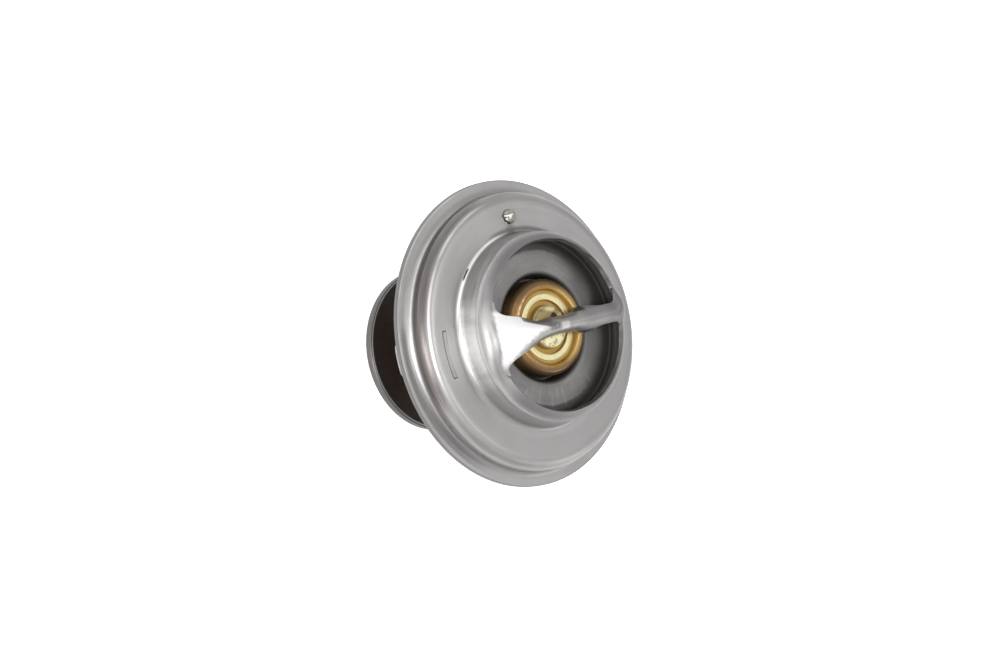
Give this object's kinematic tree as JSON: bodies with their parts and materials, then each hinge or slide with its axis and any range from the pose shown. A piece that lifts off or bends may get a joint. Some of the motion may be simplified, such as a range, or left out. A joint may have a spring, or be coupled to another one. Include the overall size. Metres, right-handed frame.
{
  "type": "engine thermostat",
  "caption": "Wax element engine thermostat with a pressed flange, a folded bridge strap, a main valve and a sprung bypass plate.",
  "frame": {"origin": "centre of the flange rim's underside, which seats in the housing", "axes": "+Z along the thermostat's axis with the bridge strap on top, +X along the strap"},
  "size_m": [0.067, 0.067, 0.0449],
  "materials": {
    "pressed_steel": "satin, as pressed",
    "bracket_steel": "satin, as pressed",
    "plate_steel": "dull, as pressed",
    "brass": "drawn, slightly tarnished",
    "bright_brass": "turned, satin",
    "rubber": "matt",
    "wax": "matt",
    "pale_plastic": "matt",
    "bright_steel": "satin",
    "spring_steel": "drawn wire",
    "dark_steel": "dark, with a bright edge"
  },
  "bodies": {
    "frame": {"flange_frame": "pressed_steel", "lower_bracket": "bracket_steel", "piston_pin": "bright_steel", "main_spring": "spring_steel"},
    "element": {"wax_cup": "brass", "guide_cover": "bright_brass", "rubber_sleeve": "rubber", "wax_charge": "wax", "slip_washer": "pale_plastic", "valve_plate": "plate_steel", "bypass_stem": "bright_steel", "stop_washer": "bright_steel", "retaining_ring": "spring_steel", "bypass_spring": "spring_steel"},
    "bypass": {"bypass_plate": "dark_steel"},
    "jiggle": {"jiggle_pin": "bright_steel"}
  },
  "joints": [
    {"name": "valve_lift", "type": "slide", "parent": "frame", "child": "element", "axis": [0, 0, -1], "range_m": [0, 0.008], "stiffness_N_per_m": 1200, "springref_m": -0.01, "deforming": ["main_spring"]},
    {"name": "bypass_yield", "type": "slide", "parent": "element", "child": "bypass", "axis": [0, 0, 1], "range_m": [0, 0.004], "stiffness_N_per_m": 800, "springref_m": -0.008, "deforming": ["bypass_spring"]},
    {"name": "vent_jiggle", "type": "slide", "parent": "frame", "child": "jiggle", "axis": [0, 0, 1], "range_m": [0, 0.0015]}
  ]
}
